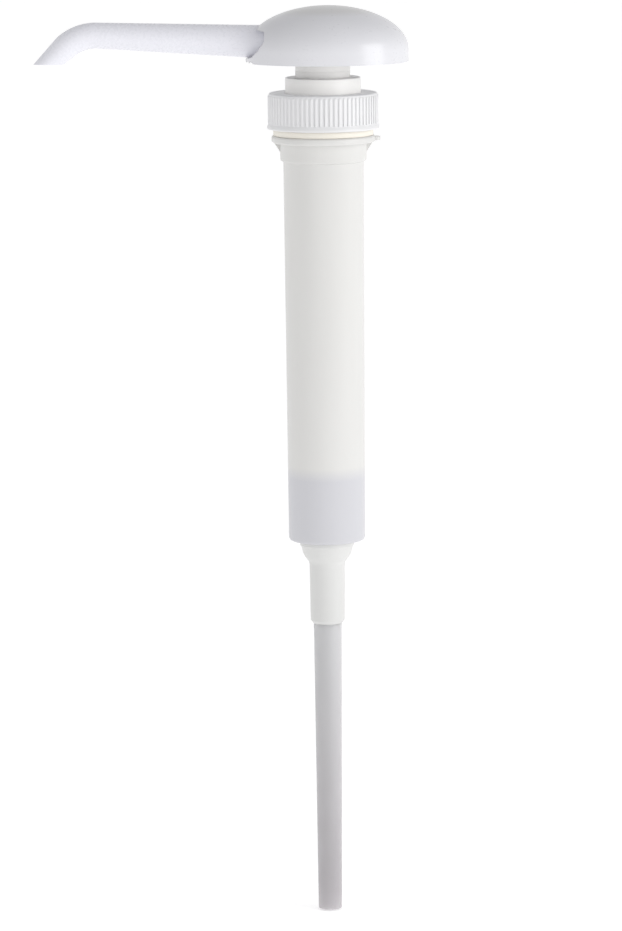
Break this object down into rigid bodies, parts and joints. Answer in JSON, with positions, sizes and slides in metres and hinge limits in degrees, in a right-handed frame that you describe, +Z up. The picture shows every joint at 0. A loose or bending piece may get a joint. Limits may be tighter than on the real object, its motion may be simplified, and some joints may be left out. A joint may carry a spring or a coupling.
{
  "type": "condiment pump dispenser",
  "caption": "Tall plunger pump for a one-gallon condiment jug, with a domed push head, bent spout, ribbed cap, long barrel and dip tube, drawn with its head down.",
  "frame": {"origin": "centre of the flange's underside, on the pump's axis, where the pump rests on the jug's neck", "axes": "+Z up along the pump's axis towards the head; the spout points along -X"},
  "size_m": [0.1426, 0.052, 0.3506],
  "materials": {
    "head_white": "glossy cool white moulded plastic",
    "spout_white": "glossy white plastic with a faint lavender tint",
    "natural_plastic": "satin natural plastic, faintly cream",
    "cap_white": "satin white plastic",
    "gasket_cream": "matt cream rubber",
    "barrel_plastic": "satin off-white plastic, slightly translucent",
    "piston_white": "satin white acetal",
    "tail_white": "satin white plastic",
    "seal_rubber": "matt grey food-grade rubber",
    "stainless_steel": "bright stainless steel",
    "tube_translucent": "translucent grey polythene tube"
  },
  "bodies": {
    "barrel": {"barrel": "barrel_plastic", "guide_bush": "natural_plastic", "gland_nut": "natural_plastic", "stem_wiper": "seal_rubber", "cap_gasket": "gasket_cream", "return_spring": "stainless_steel", "ball_cage": "piston_white", "tail_piece": "tail_white", "tail_seal": "seal_rubber", "dip_tube": "tube_translucent"},
    "cap": {"screw_cap": "cap_white"},
    "plunger": {"stem": "natural_plastic", "head_seal_upper": "seal_rubber", "head_seal_lower": "seal_rubber", "piston": "piston_white", "piston_seal_upper": "seal_rubber", "piston_seal_lower": "seal_rubber"},
    "head": {"pump_head": "head_white", "head_core": "head_white", "spout": "spout_white", "spout_seal": "seal_rubber"},
    "inlet_ball": {"inlet_ball": "stainless_steel"},
    "discharge_ball": {"discharge_ball": "stainless_steel"}
  },
  "joints": [
    {"name": "plunger_slide", "type": "slide", "parent": "barrel", "child": "plunger", "axis": [0, 0, 1], "range_m": [0, 0.056], "deforming": ["return_spring"]},
    {"name": "head_swivel", "type": "hinge", "parent": "plunger", "child": "head", "pos_m": [0, 0, 0.037], "axis": [0, 0, 1], "continuous": true},
    {"name": "cap_turn", "type": "hinge", "parent": "barrel", "child": "cap", "pos_m": [0, 0, 0.012], "axis": [0, 0, 1], "range_deg": [0, 360]},
    {"name": "inlet_ball_lift", "type": "slide", "parent": "barrel", "child": "inlet_ball", "axis": [0, 0, 1], "range_m": [0, 0.003]},
    {"name": "discharge_ball_lift", "type": "slide", "parent": "plunger", "child": "discharge_ball", "axis": [0, 0, 1], "range_m": [0, 0.003]}
  ]
}
